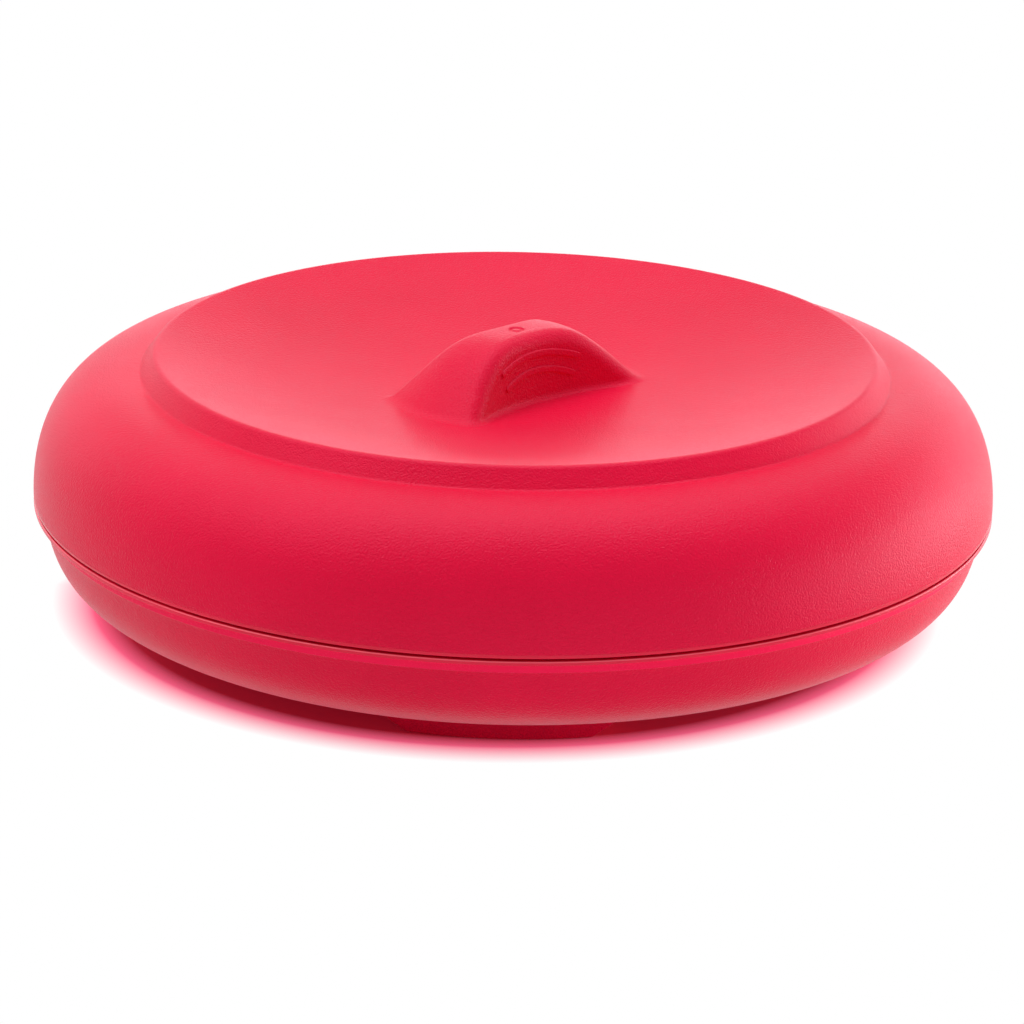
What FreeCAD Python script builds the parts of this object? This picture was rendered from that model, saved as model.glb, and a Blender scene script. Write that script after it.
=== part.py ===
import FreeCAD, Part
import math
import os

# A round insulated tortilla warmer: a shallow bowl on four feet, and a lid with a moulded grip.
# Each half is an outer shell and an inner liner with foam between them.
# Millimetres. +Z is up. The origin is on the table, on the axis of the bowl and the lid.

Vector = FreeCAD.Vector
UP = Vector(0, 0, 1)
ORIGIN = Vector(0, 0, 0)
FULL_TURN = 360.0
cut_past = 1.0              # a cutting tool runs this far past the face it cuts
same_place = 0.01           # an edge this near to a wanted place is the edge that is meant

# ---------------------------------------------------------------- seam between the halves
lid_radius = 124.6          # the lid's lower edge, the widest place
rim_edge = 1.0              # edge of each liner's rim, which shows at the seam
rim_round = 0.35
seam_gap = 0.6              # open line between the two rims
shell_wall = 2.2            # wall of both outer shells

# ---------------------------------------------------------------- base, outer shell
foot_height = 8.0           # table to the underside of the bowl
bowl_depth = 23.6           # underside of the bowl to the underside of the flange
bowl_curve_reach = 47.2     # bowl's wall under the flange to the flat middle of the underside
bowl_side_fullness = 0.385  # reach of the curve's two handles toward the corner
bowl_flat_fullness = 0.969
bowl_draft = 16.4           # degrees, under the flange
flange_height = 2.6
flange_inset = 1.8          # the flange's lower edge stands this far inside the lid's edge
flange_overhang = 0.6       # the flange stands out this far past the bowl's wall
flange_flare = 0.4          # the flange is narrower at its upper edge by this
flange_round = 0.3

# ---------------------------------------------------------------- lid, outer shell
shoulder_height = 31.2      # lower edge to the crease under the raised disc
shoulder_fullness = 0.63    # 0.55 is an ellipse, 1 fills the corner
shoulder_reach = 27.7       # lid's edge to the crease, seen from above
crease_round = 1.2
step_height = 5.2           # height of the raised disc's sloping side
step_run = 3.7              # its width, seen from above
crest_round = 1.6
dish_depth = 12.3           # the raised disc is hollowed by this much at its middle

# ---------------------------------------------------------------- grip on the lid
grip_radius = 34.0          # half the grip's length
grip_rise = 16.1            # ends of the grip to its domed top
grip_end_slope = 43.0       # degrees from the table, at the ends
grip_fullness = 0.98        # reach of the dome's handles toward the corner of top and end
grip_angle = 44.0           # long axis, degrees from +X
grip_half_waist = 6.9       # half the width at the narrowest place
scoop_radius = 54.0         # hollowed sides, seen from above
scoop_draft = 5.0           # degrees
grip_edge_round = 3.5       # between the domed top and the sides
grip_root_round = 1.6       # where the grip meets the dish
grip_hollow_round = 1.4     # edges of the hollow inside the grip
upper_rib_radius = 37.0     # the raised ribs on the sides are arcs
upper_rib_drop = 3.9        # domed top to the top of the rib
upper_rib_half_length = 14.0
lower_rib_radius = 28.0
lower_rib_drop = 8.2
lower_rib_half_length = 12.3
rib_width = 2.0
rib_proud = 0.5
gate_radius = 2.2           # ring mark of the moulding gate, on the domed top
gate_core_radius = 1.2
gate_depth = 0.4

# ---------------------------------------------------------------- liners
liner_wall = 1.6
liner_fullness = 0.69
liner_side_reach = 40.5     # mouth to the flat middle of the floor and of the ceiling
rim_width = 12.1            # lid's edge to the base liner's mouth
food_depth = 17.0           # the base's rim to the floor
mouth_straight = 3.4        # straight stretch of the base liner's wall, under its rim
seat_width = 5.0            # raised ring under the lid's rim
seat_clearance = 0.3        # raised ring to the lid's rim
headroom = 15.2             # the lid's rim to the ceiling
skirt_drop = 4.0            # the lid liner's lip hangs this far below its rim
skirt_clearance = 0.6       # lip to mouth, all round
register_clearance = 0.3    # thicker part of each rim to the wall of its outer shell
lip_round = 0.5             # edges of the mouth and of the lip

# ---------------------------------------------------------------- foam
foam_clearance = 0.3        # foam to the shell and to the liner

# ---------------------------------------------------------------- feet
foot_count = 4
foot_turn = -1.6            # degrees that the first foot stands off the -Y direction
foot_past_flat = 12.5       # flat middle of the underside to the outer edge at the table
foot_width = 17.0           # outer edge to inner edge at the table
foot_half_length = 23.2     # half its length at the table
foot_draft = 8.0            # degrees, outer and inner side
foot_end_slope = 34.0       # degrees from the table
foot_edge_round = 1.0

# ---------------------------------------------------------------- levels that follow
bowl_level = foot_height
flange_level = bowl_level + bowl_depth
base_shell_top = flange_level + flange_height
base_rim_top = base_shell_top + rim_edge
floor_level = base_rim_top - food_depth
lid_rim_level = base_rim_top + seam_gap
seat_level = lid_rim_level - seat_clearance
lid_shell_level = lid_rim_level + rim_edge
ceiling_level = lid_rim_level + headroom
crease_level = lid_shell_level + shoulder_height
crest_level = crease_level + step_height
dish_level = crest_level - dish_depth

# ---------------------------------------------------------------- radii that follow
crease_radius = lid_radius - shoulder_reach
crest_radius = crease_radius - step_run
flange_radius = lid_radius - flange_inset
bowl_radius = flange_radius - flange_overhang
bowl_flat_radius = bowl_radius - bowl_curve_reach
foot_outer_radius = bowl_flat_radius + foot_past_flat
mouth_radius = lid_radius - rim_width
liner_flat_radius = mouth_radius - liner_side_reach
skirt_radius = mouth_radius - skirt_clearance


def point(radius, level):
    """A point of a half section, in the plane y = 0."""
    return Vector(radius, 0, level)


def line(start, end):
    return Part.LineSegment(start, end).toShape()


def chain(*corners):
    """Straight edges through the corners, in order."""
    return [line(start, end) for start, end in zip(corners, corners[1:])]


def handle_curve(start, start_handle, end_handle, end):
    """Cubic curve that leaves start toward its handle and comes to end from the other one."""
    curve = Part.BezierCurve()
    curve.setPoles([start, start_handle, end_handle, end])
    return curve.toShape()


def fullness_curve(flat_radius, start_level, side_radius, rise, fullness):
    """Curve from an upright side at start_level to a level end at flat_radius.

    It ends rise above start_level, or below it when rise is negative. Its handles reach toward
    the corner between the two ends by the share fullness.
    """
    reach = side_radius - flat_radius
    return handle_curve(
        point(side_radius, start_level),
        point(side_radius, start_level + fullness * rise),
        point(flat_radius + fullness * reach, start_level + rise),
        point(flat_radius, start_level + rise),
    )


def revolve(edges):
    """Solid of revolution about the vertical axis of a closed half section."""
    wire = Part.Wire(Part.sortEdges(edges)[0])
    return Part.Face(wire).revolve(ORIGIN, UP, FULL_TURN)


def round_circle(solid, radius, level, amount):
    """Rounds the one circular edge of that radius at that level."""
    chosen = []
    for edge in solid.Edges:
        if edge.Degenerated or edge.Curve.TypeId != "Part::GeomCircle":
            continue
        offset = edge.Curve.Center.sub(point(0, level)).Length
        if offset < same_place and abs(edge.Curve.Radius - radius) < same_place:
            chosen.append(edge)
    return solid.makeFillet(amount, chosen)


# ================================================================ feet
def foot_block(inset, top):
    """One foot as a solid up to the level top, its faces moved in by inset."""
    lean = math.tan(math.radians(foot_draft)) * (top - inset)
    side_inset = inset / math.cos(math.radians(foot_draft))
    outer = foot_outer_radius - side_inset + inset * math.tan(math.radians(foot_draft))
    inner = foot_outer_radius - foot_width + side_inset - inset * math.tan(math.radians(foot_draft))
    ring = revolve(chain(
        point(inner, inset),
        point(outer, inset),
        point(outer + lean, top),
        point(inner - lean, top),
        point(inner, inset),
    ))
    slope = math.radians(foot_end_slope)
    low_half = foot_half_length + inset / math.tan(slope) - inset / math.sin(slope)
    high_half = low_half + (top - inset) / math.tan(slope)
    end_view = Part.makePolygon([
        Vector(-low_half, 0, inset),
        Vector(low_half, 0, inset),
        Vector(high_half, 0, top),
        Vector(-high_half, 0, top),
        Vector(-low_half, 0, inset),
    ])
    bar = Part.Face(end_view).extrude(Vector(0, -foot_outer_radius - foot_width, 0))
    return ring.common(bar)


def foot_floor_edges(foot, level):
    chosen = []
    for edge in foot.Edges:
        box = edge.BoundBox
        if box.ZMax < level + same_place:
            chosen.append(edge)
    return chosen


def placed_feet(foot):
    """Copies of the foot at equal turns about the axis."""
    feet = []
    for index in range(foot_count):
        copy = foot.copy()
        copy.rotate(ORIGIN, UP, foot_turn + index * FULL_TURN / foot_count)
        feet.append(copy)
    return feet


# ================================================================ base
def bowl_section(inset):
    """Edges of the bowl's half section, open at the top, its surface moved in by inset."""
    side = bowl_radius - inset
    bottom = bowl_level + inset
    side_handle = bowl_side_fullness * (bowl_depth - inset)
    flat_handle = bowl_flat_fullness * (side - bowl_flat_radius)
    lean = math.tan(math.radians(bowl_draft))
    return [
        line(point(0, bottom), point(bowl_flat_radius, bottom)),
        handle_curve(
            point(side, flange_level),
            point(side - lean * side_handle, flange_level - side_handle),
            point(bowl_flat_radius + flat_handle, bottom),
            point(bowl_flat_radius, bottom),
        ),
    ]


def base_shell_body():
    """The bowl and its flange, as a full solid."""
    edges = bowl_section(0.0)
    edges += chain(
        point(bowl_radius, flange_level),
        point(flange_radius, flange_level),
        point(flange_radius - flange_flare, base_shell_top),
        point(0, base_shell_top),
        point(0, bowl_level),
    )
    return round_circle(revolve(edges), flange_radius, flange_level, flange_round)


def base_shell_hollow():
    """The space inside the base's outer shell."""
    side = bowl_radius - shell_wall
    top = base_shell_top + cut_past
    edges = bowl_section(shell_wall)
    edges += chain(
        point(side, flange_level),
        point(side, top),
        point(0, top),
        point(0, bowl_level + shell_wall),
    )
    return revolve(edges)


def base_outer_shell():
    foot = foot_block(0.0, bowl_level + shell_wall / 2.0)
    foot = foot.makeFillet(foot_edge_round, foot_floor_edges(foot, 0.0))
    foot_hollow = foot_block(shell_wall, bowl_level + shell_wall + cut_past)
    body = base_shell_body().multiFuse(placed_feet(foot))
    hollow = base_shell_hollow().multiFuse(placed_feet(foot_hollow))
    return body.cut(hollow)


def base_liner_wall(inset):
    """Edges of the food bowl's half section from the axis to the rim, moved out by inset."""
    side = mouth_radius + inset
    start = base_rim_top - mouth_straight
    drop = floor_level - inset - start
    return [
        line(point(0, floor_level - inset), point(liner_flat_radius, floor_level - inset)),
        fullness_curve(liner_flat_radius, start, side, drop, liner_fullness),
    ]


def base_inner_liner():
    start = base_rim_top - mouth_straight
    register_radius = bowl_radius - shell_wall - register_clearance
    rim_underside = base_rim_top - liner_wall
    outer_side = mouth_radius + liner_wall
    edges = base_liner_wall(0.0) + base_liner_wall(liner_wall)
    edges += chain(
        point(mouth_radius, start),
        point(mouth_radius, seat_level),
        point(mouth_radius + seat_width, seat_level),
        point(mouth_radius + seat_width, base_rim_top),
        point(lid_radius, base_rim_top),
        point(lid_radius, base_shell_top),
        point(register_radius, base_shell_top),
        point(register_radius, rim_underside),
        point(outer_side, rim_underside),
        point(outer_side, start),
    )
    edges.append(line(point(0, floor_level), point(0, floor_level - liner_wall)))
    liner = revolve(edges)
    liner = round_circle(liner, mouth_radius, seat_level, lip_round)
    return round_circle(liner, lid_radius, base_rim_top, rim_round)


def base_insulation():
    outer_side = bowl_radius - shell_wall - foam_clearance
    inner_side = mouth_radius + liner_wall + foam_clearance
    start = base_rim_top - mouth_straight
    top = base_rim_top - liner_wall - foam_clearance
    bottom = bowl_level + shell_wall + foam_clearance
    hollow_bottom = floor_level - liner_wall - foam_clearance
    edges = bowl_section(shell_wall + foam_clearance)
    edges += base_liner_wall(liner_wall + foam_clearance)
    edges += chain(
        point(outer_side, flange_level),
        point(outer_side, top),
        point(inner_side, top),
        point(inner_side, start),
    )
    edges.append(line(point(0, bottom), point(0, hollow_bottom)))
    return revolve(edges)


# ================================================================ lid body
def dish_sphere():
    """Radius of the sphere that the dish is part of."""
    return (crest_radius ** 2 + dish_depth ** 2) / (2.0 * dish_depth)


def dish_height(radius):
    """Level of the dish at that radius."""
    sphere = dish_sphere()
    return dish_level + sphere - math.sqrt(sphere ** 2 - radius ** 2)


def dish_arc(radius, rim_level):
    """Arc of the dish from its rim to the axis."""
    sphere = (radius ** 2 + dish_depth ** 2) / (2.0 * dish_depth)
    half_turn = math.asin(radius / sphere) / 2.0
    centre_level = rim_level - dish_depth + sphere
    middle = point(sphere * math.sin(half_turn), centre_level - sphere * math.cos(half_turn))
    return Part.Arc(point(radius, rim_level), middle, point(0, rim_level - dish_depth)).toShape()


def lid_section(inset):
    """Edges of the lid's half section without the grip, its surface moved in by inset."""
    lean = math.atan2(crease_radius - crest_radius, step_height)
    step_inset = inset * math.tan(math.pi / 4.0 - lean / 2.0)
    crease = point(crease_radius - step_inset, crease_level - inset)
    crest = point(crest_radius - step_inset, crest_level - inset)
    shoulder = fullness_curve(
        crease.x, lid_shell_level, lid_radius - inset, shoulder_height - inset, shoulder_fullness
    )
    return [shoulder, line(crease, crest), dish_arc(crest.x, crest.z)]


def lid_form(inset, bottom):
    """The lid's body without the grip, filled down to the level bottom."""
    side = lid_radius - inset
    edges = lid_section(inset)
    edges += chain(point(0, dish_level - inset), point(0, bottom), point(side, bottom))
    if bottom < lid_shell_level:
        edges.append(line(point(side, bottom), point(side, lid_shell_level)))
    return revolve(edges)


# ================================================================ grip, its long axis along X
def grip_top():
    return dish_height(grip_radius) + grip_rise


def grip_dome(inset, low):
    """The grip's dome before its sides are hollowed, its surface moved in by inset."""
    slope = math.radians(grip_end_slope)
    base = dish_height(grip_radius)
    top = grip_top() - inset
    end = grip_radius - inset / math.sin(slope)
    corner = end - (top - base) / math.tan(slope)
    end_handle = end - grip_fullness * (end - corner)
    edges = [handle_curve(
        point(0, top),
        point(grip_fullness * corner, top),
        point(end_handle, base + grip_fullness * (top - base)),
        point(end, base),
    )]
    edges += chain(
        point(end, base),
        point(end + (base - low) / math.tan(slope), low),
        point(0, low),
        point(0, top),
    )
    return revolve(edges)


def scoop_cone(side, inset, low, high):
    """Cone that hollows one side of the grip; the grip gets wider downward by the draft."""
    lean = math.tan(math.radians(scoop_draft))
    low_radius = scoop_radius + inset - (grip_top() - low) * lean
    high_radius = scoop_radius + inset - (grip_top() - high) * lean
    centre = Vector(0, side * (scoop_radius + grip_half_waist), low)
    return Part.makeCone(low_radius, high_radius, high - low, centre, UP)


def grip_form(inset, low):
    """The grip's body down to the level low, its surface moved in by inset."""
    body = grip_dome(inset, low)
    for side in (-1, 1):
        body = body.cut(scoop_cone(side, inset, low - cut_past, grip_top() + cut_past))
    return body


def grip_long_edges(body, low):
    """The two edges where the domed top meets the hollowed sides."""
    chosen = []
    for edge in body.Edges:
        box = edge.BoundBox
        if box.ZMax > low + cut_past and box.XLength > grip_radius:
            chosen.append(edge)
    return chosen


def grip_rib(side, radius, drop, half_length):
    """One raised rib, an arc with round ends on a hollowed side."""
    centre = Vector(0, 0, grip_top() - drop - radius)
    middle = radius - rib_width / 2.0
    outward = Vector(0, side, 0)
    ring = Part.makeCylinder(radius, grip_radius, centre, outward)
    ring = ring.cut(Part.makeCylinder(radius - rib_width, grip_radius, centre, outward))
    turn = math.asin(half_length / radius)
    reach = 2.0 * radius
    fan = Part.makePolygon([
        centre,
        centre + Vector(-reach * math.sin(turn), 0, reach * math.cos(turn)),
        centre + Vector(reach * math.sin(turn), 0, reach * math.cos(turn)),
        centre,
    ])
    band = ring.common(Part.Face(fan).extrude(outward * grip_radius))
    for end in (-1, 1):
        spot = centre + Vector(end * middle * math.sin(turn), 0, middle * math.cos(turn))
        band = band.fuse(Part.makeCylinder(rib_width / 2.0, grip_radius, spot, outward))
    low = grip_top() - drop - radius
    skin = scoop_cone(side, rib_proud, low, grip_top())
    skin = skin.cut(scoop_cone(side, -rib_proud, low - cut_past, grip_top() + cut_past))
    return band.common(skin)


def grip_ribs():
    ribs = []
    for side in (-1, 1):
        ribs.append(grip_rib(side, upper_rib_radius, upper_rib_drop, upper_rib_half_length))
        ribs.append(grip_rib(side, lower_rib_radius, lower_rib_drop, lower_rib_half_length))
    return ribs


def gate_mark():
    """Shallow ring in the domed top, on the axis."""
    low = Vector(0, 0, grip_top() - gate_depth)
    ring = Part.makeCylinder(gate_radius, gate_depth + cut_past, low)
    return ring.cut(Part.makeCylinder(gate_core_radius, gate_depth + cut_past, low))


def root_edges(shell):
    """The edges where the grip meets the dish."""
    chosen = []
    past_ends = grip_radius + grip_root_round
    for edge in shell.Edges:
        if edge.Degenerated:
            continue
        box = edge.BoundBox
        near = max(abs(box.XMin), abs(box.XMax), abs(box.YMin), abs(box.YMax)) < past_ends
        low = box.ZMax < dish_height(past_ends)
        if near and low and box.DiagonalLength > gate_radius:
            chosen.append(edge)
    return chosen


# ================================================================ lid
def lid_outer_shell():
    buried = dish_level - 2.0 * shell_wall
    grip = grip_form(0.0, buried)
    grip = grip.makeFillet(grip_edge_round, grip_long_edges(grip, buried))
    grip.rotate(ORIGIN, UP, grip_angle)
    body = lid_form(0.0, lid_shell_level)
    body = round_circle(body, crest_radius, crest_level, crest_round)
    body = round_circle(body, crease_radius, crease_level, crease_round)
    body = body.fuse(grip)
    body = body.makeFillet(grip_root_round, root_edges(body))
    for rib in grip_ribs():
        rib.rotate(ORIGIN, UP, grip_angle)
        body = body.fuse(rib)
    body = body.cut(gate_mark())
    hollow = grip_form(shell_wall, buried - cut_past)
    hollow = hollow.makeFillet(grip_hollow_round, grip_long_edges(hollow, buried - cut_past))
    hollow.rotate(ORIGIN, UP, grip_angle)
    hollow = hollow.fuse(lid_form(shell_wall, lid_shell_level - cut_past))
    return body.cut(hollow)


def lid_liner_wall(inset):
    """Edges of the lid liner's half section from the axis to its side, moved out by inset."""
    start = lid_rim_level + liner_wall
    side = skirt_radius - liner_wall + inset
    rise = ceiling_level + inset - start
    return [
        line(point(0, ceiling_level + inset), point(liner_flat_radius, ceiling_level + inset)),
        fullness_curve(liner_flat_radius, start, side, rise, liner_fullness),
    ]


def lid_inner_liner():
    inner_side = skirt_radius - liner_wall
    lip_level = lid_rim_level - skirt_drop
    register_radius = lid_radius - shell_wall - register_clearance
    rim_upper_side = lid_rim_level + liner_wall
    edges = lid_liner_wall(0.0) + lid_liner_wall(liner_wall)
    edges += chain(
        point(inner_side, rim_upper_side),
        point(inner_side, lip_level),
        point(skirt_radius, lip_level),
        point(skirt_radius, lid_rim_level),
        point(lid_radius, lid_rim_level),
        point(lid_radius, lid_shell_level),
        point(register_radius, lid_shell_level),
        point(register_radius, rim_upper_side),
        point(skirt_radius, rim_upper_side),
    )
    edges.append(line(point(0, ceiling_level), point(0, ceiling_level + liner_wall)))
    liner = revolve(edges)
    liner = round_circle(liner, skirt_radius, lip_level, lip_round)
    return round_circle(liner, inner_side, lip_level, lip_round)


def lid_liner_core(inset):
    """The space that the lid's liner takes up, filled, its surface moved out by inset."""
    start = lid_rim_level + liner_wall
    bottom = lid_shell_level - cut_past
    side = skirt_radius - liner_wall + inset
    edges = lid_liner_wall(inset)
    edges += chain(
        point(side, start),
        point(side, bottom),
        point(0, bottom),
        point(0, ceiling_level + inset),
    )
    return revolve(edges)


def lid_insulation():
    rim_space = lid_rim_level + liner_wall + foam_clearance - lid_shell_level + cut_past
    low = Vector(0, 0, lid_shell_level - cut_past)
    foam = lid_form(shell_wall + foam_clearance, lid_shell_level)
    foam = foam.cut(lid_liner_core(liner_wall + foam_clearance))
    return foam.cut(Part.makeCylinder(lid_radius, rim_space, low))


# ================================================================ files
def save(name, shape):
    solids = shape.Solids
    if len(solids) == 1:
        shape = solids[0]
    shape.exportStep("parts/" + name + ".step")


os.makedirs("parts", exist_ok=True)
save("base_outer_shell", base_outer_shell())
save("base_inner_liner", base_inner_liner())
save("base_insulation", base_insulation())
save("lid_outer_shell", lid_outer_shell())
save("lid_inner_liner", lid_inner_liner())
save("lid_insulation", lid_insulation())
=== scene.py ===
import math

import bpy
import numpy as np
from mathutils import Matrix, Vector


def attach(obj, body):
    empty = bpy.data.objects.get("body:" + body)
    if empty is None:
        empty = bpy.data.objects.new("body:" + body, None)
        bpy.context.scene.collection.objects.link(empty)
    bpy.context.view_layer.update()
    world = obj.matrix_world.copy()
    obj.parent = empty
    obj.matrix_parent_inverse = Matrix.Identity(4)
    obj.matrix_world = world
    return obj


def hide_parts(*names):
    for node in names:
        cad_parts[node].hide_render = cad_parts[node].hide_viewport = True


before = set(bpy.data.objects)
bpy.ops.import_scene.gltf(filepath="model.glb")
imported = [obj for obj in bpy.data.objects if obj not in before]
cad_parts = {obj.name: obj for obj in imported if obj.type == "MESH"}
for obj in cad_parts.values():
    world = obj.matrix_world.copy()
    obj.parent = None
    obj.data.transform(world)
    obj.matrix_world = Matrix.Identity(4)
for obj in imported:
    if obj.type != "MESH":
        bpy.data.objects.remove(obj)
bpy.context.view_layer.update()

bl_info = {
    "name": "Tortilla Warmer",
    "version": (1, 0, 0),
    "blender": (4, 5, 0),
    "location": "View3D > Sidebar > Warmer",
    "description": "Builds a round insulated tortilla warmer with a gripped lid, and its studio",
    "category": "Add Mesh",
}

MM = 0.001
FULL_TURN = 2.0 * math.pi


# ---- settings
def length(name, description, millimetres):
    return bpy.props.FloatProperty(
        name=name, description=description, default=millimetres * MM,
        min=0.0, precision=5, unit="LENGTH", subtype="DISTANCE",
    )


def turn(name, description, degrees):
    return bpy.props.FloatProperty(
        name=name, description=description, default=math.radians(degrees),
        subtype="ANGLE", unit="ROTATION",
    )


def plain(name, description, value, low=0.0):
    return bpy.props.FloatProperty(name=name, description=description, default=value, min=low)


def factor(name, description, value):
    return bpy.props.FloatProperty(
        name=name, description=description, default=value, min=0.0, max=1.0, subtype="FACTOR",
    )


def colour(name, description, value):
    return bpy.props.FloatVectorProperty(
        name=name, description=description, default=value, size=3,
        min=0.0, max=1.0, subtype="COLOR",
    )


class WarmerSeamSizes(bpy.types.PropertyGroup):
    """Levels and radii where the lid meets the base"""

    radius: length("Radius", "Widest radius, at the lower edge of the lid", 124.6)
    shell_wall: length("Shell wall", "Wall of both outer shells", 2.2)
    liner_wall: length("Liner wall", "Wall of both liners", 1.6)
    rim_edge: length("Rim edge", "Height of the edge of each liner's rim", 1.0)
    seam_gap: length("Seam gap", "Open line between the two rims", 0.6)
    rim_round: length("Rim round", "Rounding of the rims' edges", 0.42)
    mouth_radius: length("Mouth radius", "Radius of the base liner's mouth", 112.5)
    skirt_clearance: length("Skirt clearance", "Lid's lip to the mouth, all round", 0.6)
    skirt_drop: length("Skirt drop", "Height of the lid's lip under its rim", 4.0)
    register_clearance: length("Register clearance", "Shell to the liner inside it, all round", 0.3)
    lip_round: length("Lip round", "Rounding of the lid's lip and of the mouth", 0.5)
    ring_round: length("Ring round", "Rounding of the raised ring and under the base's rim", 0.12)
    shell_parting_round: length("Shell parting", "Rounding of the lid shell's lower edge", 0.06)
    liner_parting_round: length("Liner parting", "Rounding of the lid liner's upper rim edge", 0.04)


class WarmerLidSizes(bpy.types.PropertyGroup):
    """Form of the lid's outer shell"""

    shoulder_height: length("Shoulder height", "Lower edge to the crease", 31.2)
    shoulder_fullness: factor("Shoulder fullness", "Reach of the shoulder curve's handles", 0.63)
    crease_radius: length("Crease radius", "Foot of the raised disc", 96.9)
    crease_round: length("Crease round", "Hollow rounding at the crease", 1.2)
    step_height: length("Step height", "Height of the raised disc's side", 5.2)
    crest_radius: length("Crest radius", "Upper edge of the raised disc", 93.2)
    crest_round: length("Crest round", "Rounding of the disc's edge", 1.6)
    dish_depth: length("Dish depth", "Hollow of the disc at its middle", 12.3)
    headroom: length("Headroom", "Lid's rim to the liner's ceiling", 15.2)


class WarmerGripSizes(bpy.types.PropertyGroup):
    """Form of the grip that is moulded into the lid"""

    half_length: length("Half length", "Axis to the end of the grip at the dish", 34.0)
    rise: length("Rise", "Ends of the grip to its domed top", 16.1)
    end_slope: turn("End slope", "Slope of the dome at the ends of the grip", 43.0)
    fullness: factor("Fullness", "Reach of the dome's handles toward its corner", 0.98)
    angle: turn("Angle", "Long axis of the grip from +X", 44.0)
    half_waist: length("Half waist", "Half the width at the narrowest place", 6.9)
    scoop_radius: length("Scoop radius", "Hollow sides, seen from above", 54.0)
    scoop_draft: turn("Scoop draft", "Lean of the hollow sides", 5.0)
    edge_round: length("Edge round", "Rounding between the top and the sides", 3.5)
    root_round: length("Root round", "Hollow rounding where the grip meets the dish", 1.6)
    gate_radius: length("Gate radius", "Ring mark of the moulding gate", 2.2)
    gate_core: length("Gate core", "Radius of the boss inside the ring mark", 1.2)
    gate_depth: length("Gate depth", "Depth of the ring mark", 0.4)
    rib_width: length("Rib width", "Width of the raised ribs", 2.0)
    rib_proud: length("Rib height", "Height of the raised ribs", 0.5)


class WarmerBaseSizes(bpy.types.PropertyGroup):
    """Form of the base's outer shell and food bowl"""

    foot_height: length("Foot height", "Table to the underside of the bowl", 8.0)
    bowl_depth: length("Bowl depth", "Underside of the bowl to the flange", 23.6)
    bowl_flat_radius: length("Bowl flat radius", "Flat middle of the underside", 75.0)
    bowl_side_fullness: factor("Bowl side fullness", "Reach of the curve's upper handle", 0.385)
    bowl_flat_fullness: factor("Bowl flat fullness", "Reach of the curve's lower handle", 0.969)
    bowl_draft: turn("Bowl draft", "Lean of the bowl's wall under the band", 16.4)
    flange_height: length("Flange height", "Height of the band under the rim", 2.6)
    flange_inset: length("Flange inset", "Lid's edge to the band's lower edge", 1.8)
    flange_overhang: length("Flange overhang", "Band to the bowl's wall", 0.6)
    flange_flare: length("Flange flare", "Band's upper edge is narrower by this", 0.4)
    flange_round: length("Flange round", "Rounding of the band's lower edge", 0.3)
    flange_root: length("Flange root", "Hollow rounding where the band meets the bowl", 0.25)
    food_depth: length("Food depth", "Base's rim to the floor", 17.0)
    mouth_straight: length("Mouth straight", "Upright stretch under the mouth", 3.4)
    seat_width: length("Seat width", "Raised ring under the lid's rim", 5.0)
    seat_clearance: length("Seat clearance", "Raised ring to the lid's rim", 0.3)
    liner_flat_radius: length("Liner flat radius", "Flat middle of both liners", 72.0)
    liner_fullness: factor("Liner fullness", "Reach of the liner curves' handles", 0.69)


class WarmerFootSizes(bpy.types.PropertyGroup):
    """Form of the foot pads"""

    count: bpy.props.IntProperty(name="Count", description="Number of foot pads", default=4, min=3)
    turned: turn("Turn", "First pad from the -Y direction", -1.6)
    outer_radius: length("Outer radius", "Outer edge at the table", 87.5)
    width: length("Width", "Outer edge to inner edge at the table", 17.0)
    half_length: length("Half length", "Half the length at the table", 23.2)
    draft: turn("Draft", "Lean of the outer and inner sides", 8.0)
    end_slope: turn("End slope", "Slope of the ends from the table", 34.0)
    edge_round: length("Edge round", "Rounding of the edges at the table", 1.0)


class WarmerFinish(bpy.types.PropertyGroup):
    """Colour and grain of the plastic"""

    red: colour("Red", "Colour of the plastic", (0.80, 0.003, 0.046))
    # painted highlight: the thin bright line along the base rim's rounding is painted in this colour
    painted_rim_highlight: colour("Edge red", "Colour of the base rim's thin bright edge", (1.0, 0.11, 0.17))
    # painted light: this lighter red makes the flange band look brighter than the bowl; the band's
    # smoothness is real
    painted_flange_light: colour("Polished red", "Colour of the polished flange", (0.98, 0.008, 0.080))
    red_deep: colour("Deep red", "Colour in the grain's pits and thicker flow", (0.70, 0.002, 0.035))
    shell_roughness: factor("Shell roughness", "Roughness of the grained shells", 0.36)
    liner_roughness: factor("Liner roughness", "Roughness of the smooth liners", 0.22)
    grain: length("Grain", "Size of the moulded grain", 0.44)
    grain_depth: length("Grain depth", "Depth of the moulded grain", 0.24)
    foam: colour("Foam", "Colour of the bead foam", (0.86, 0.84, 0.78))


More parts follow.
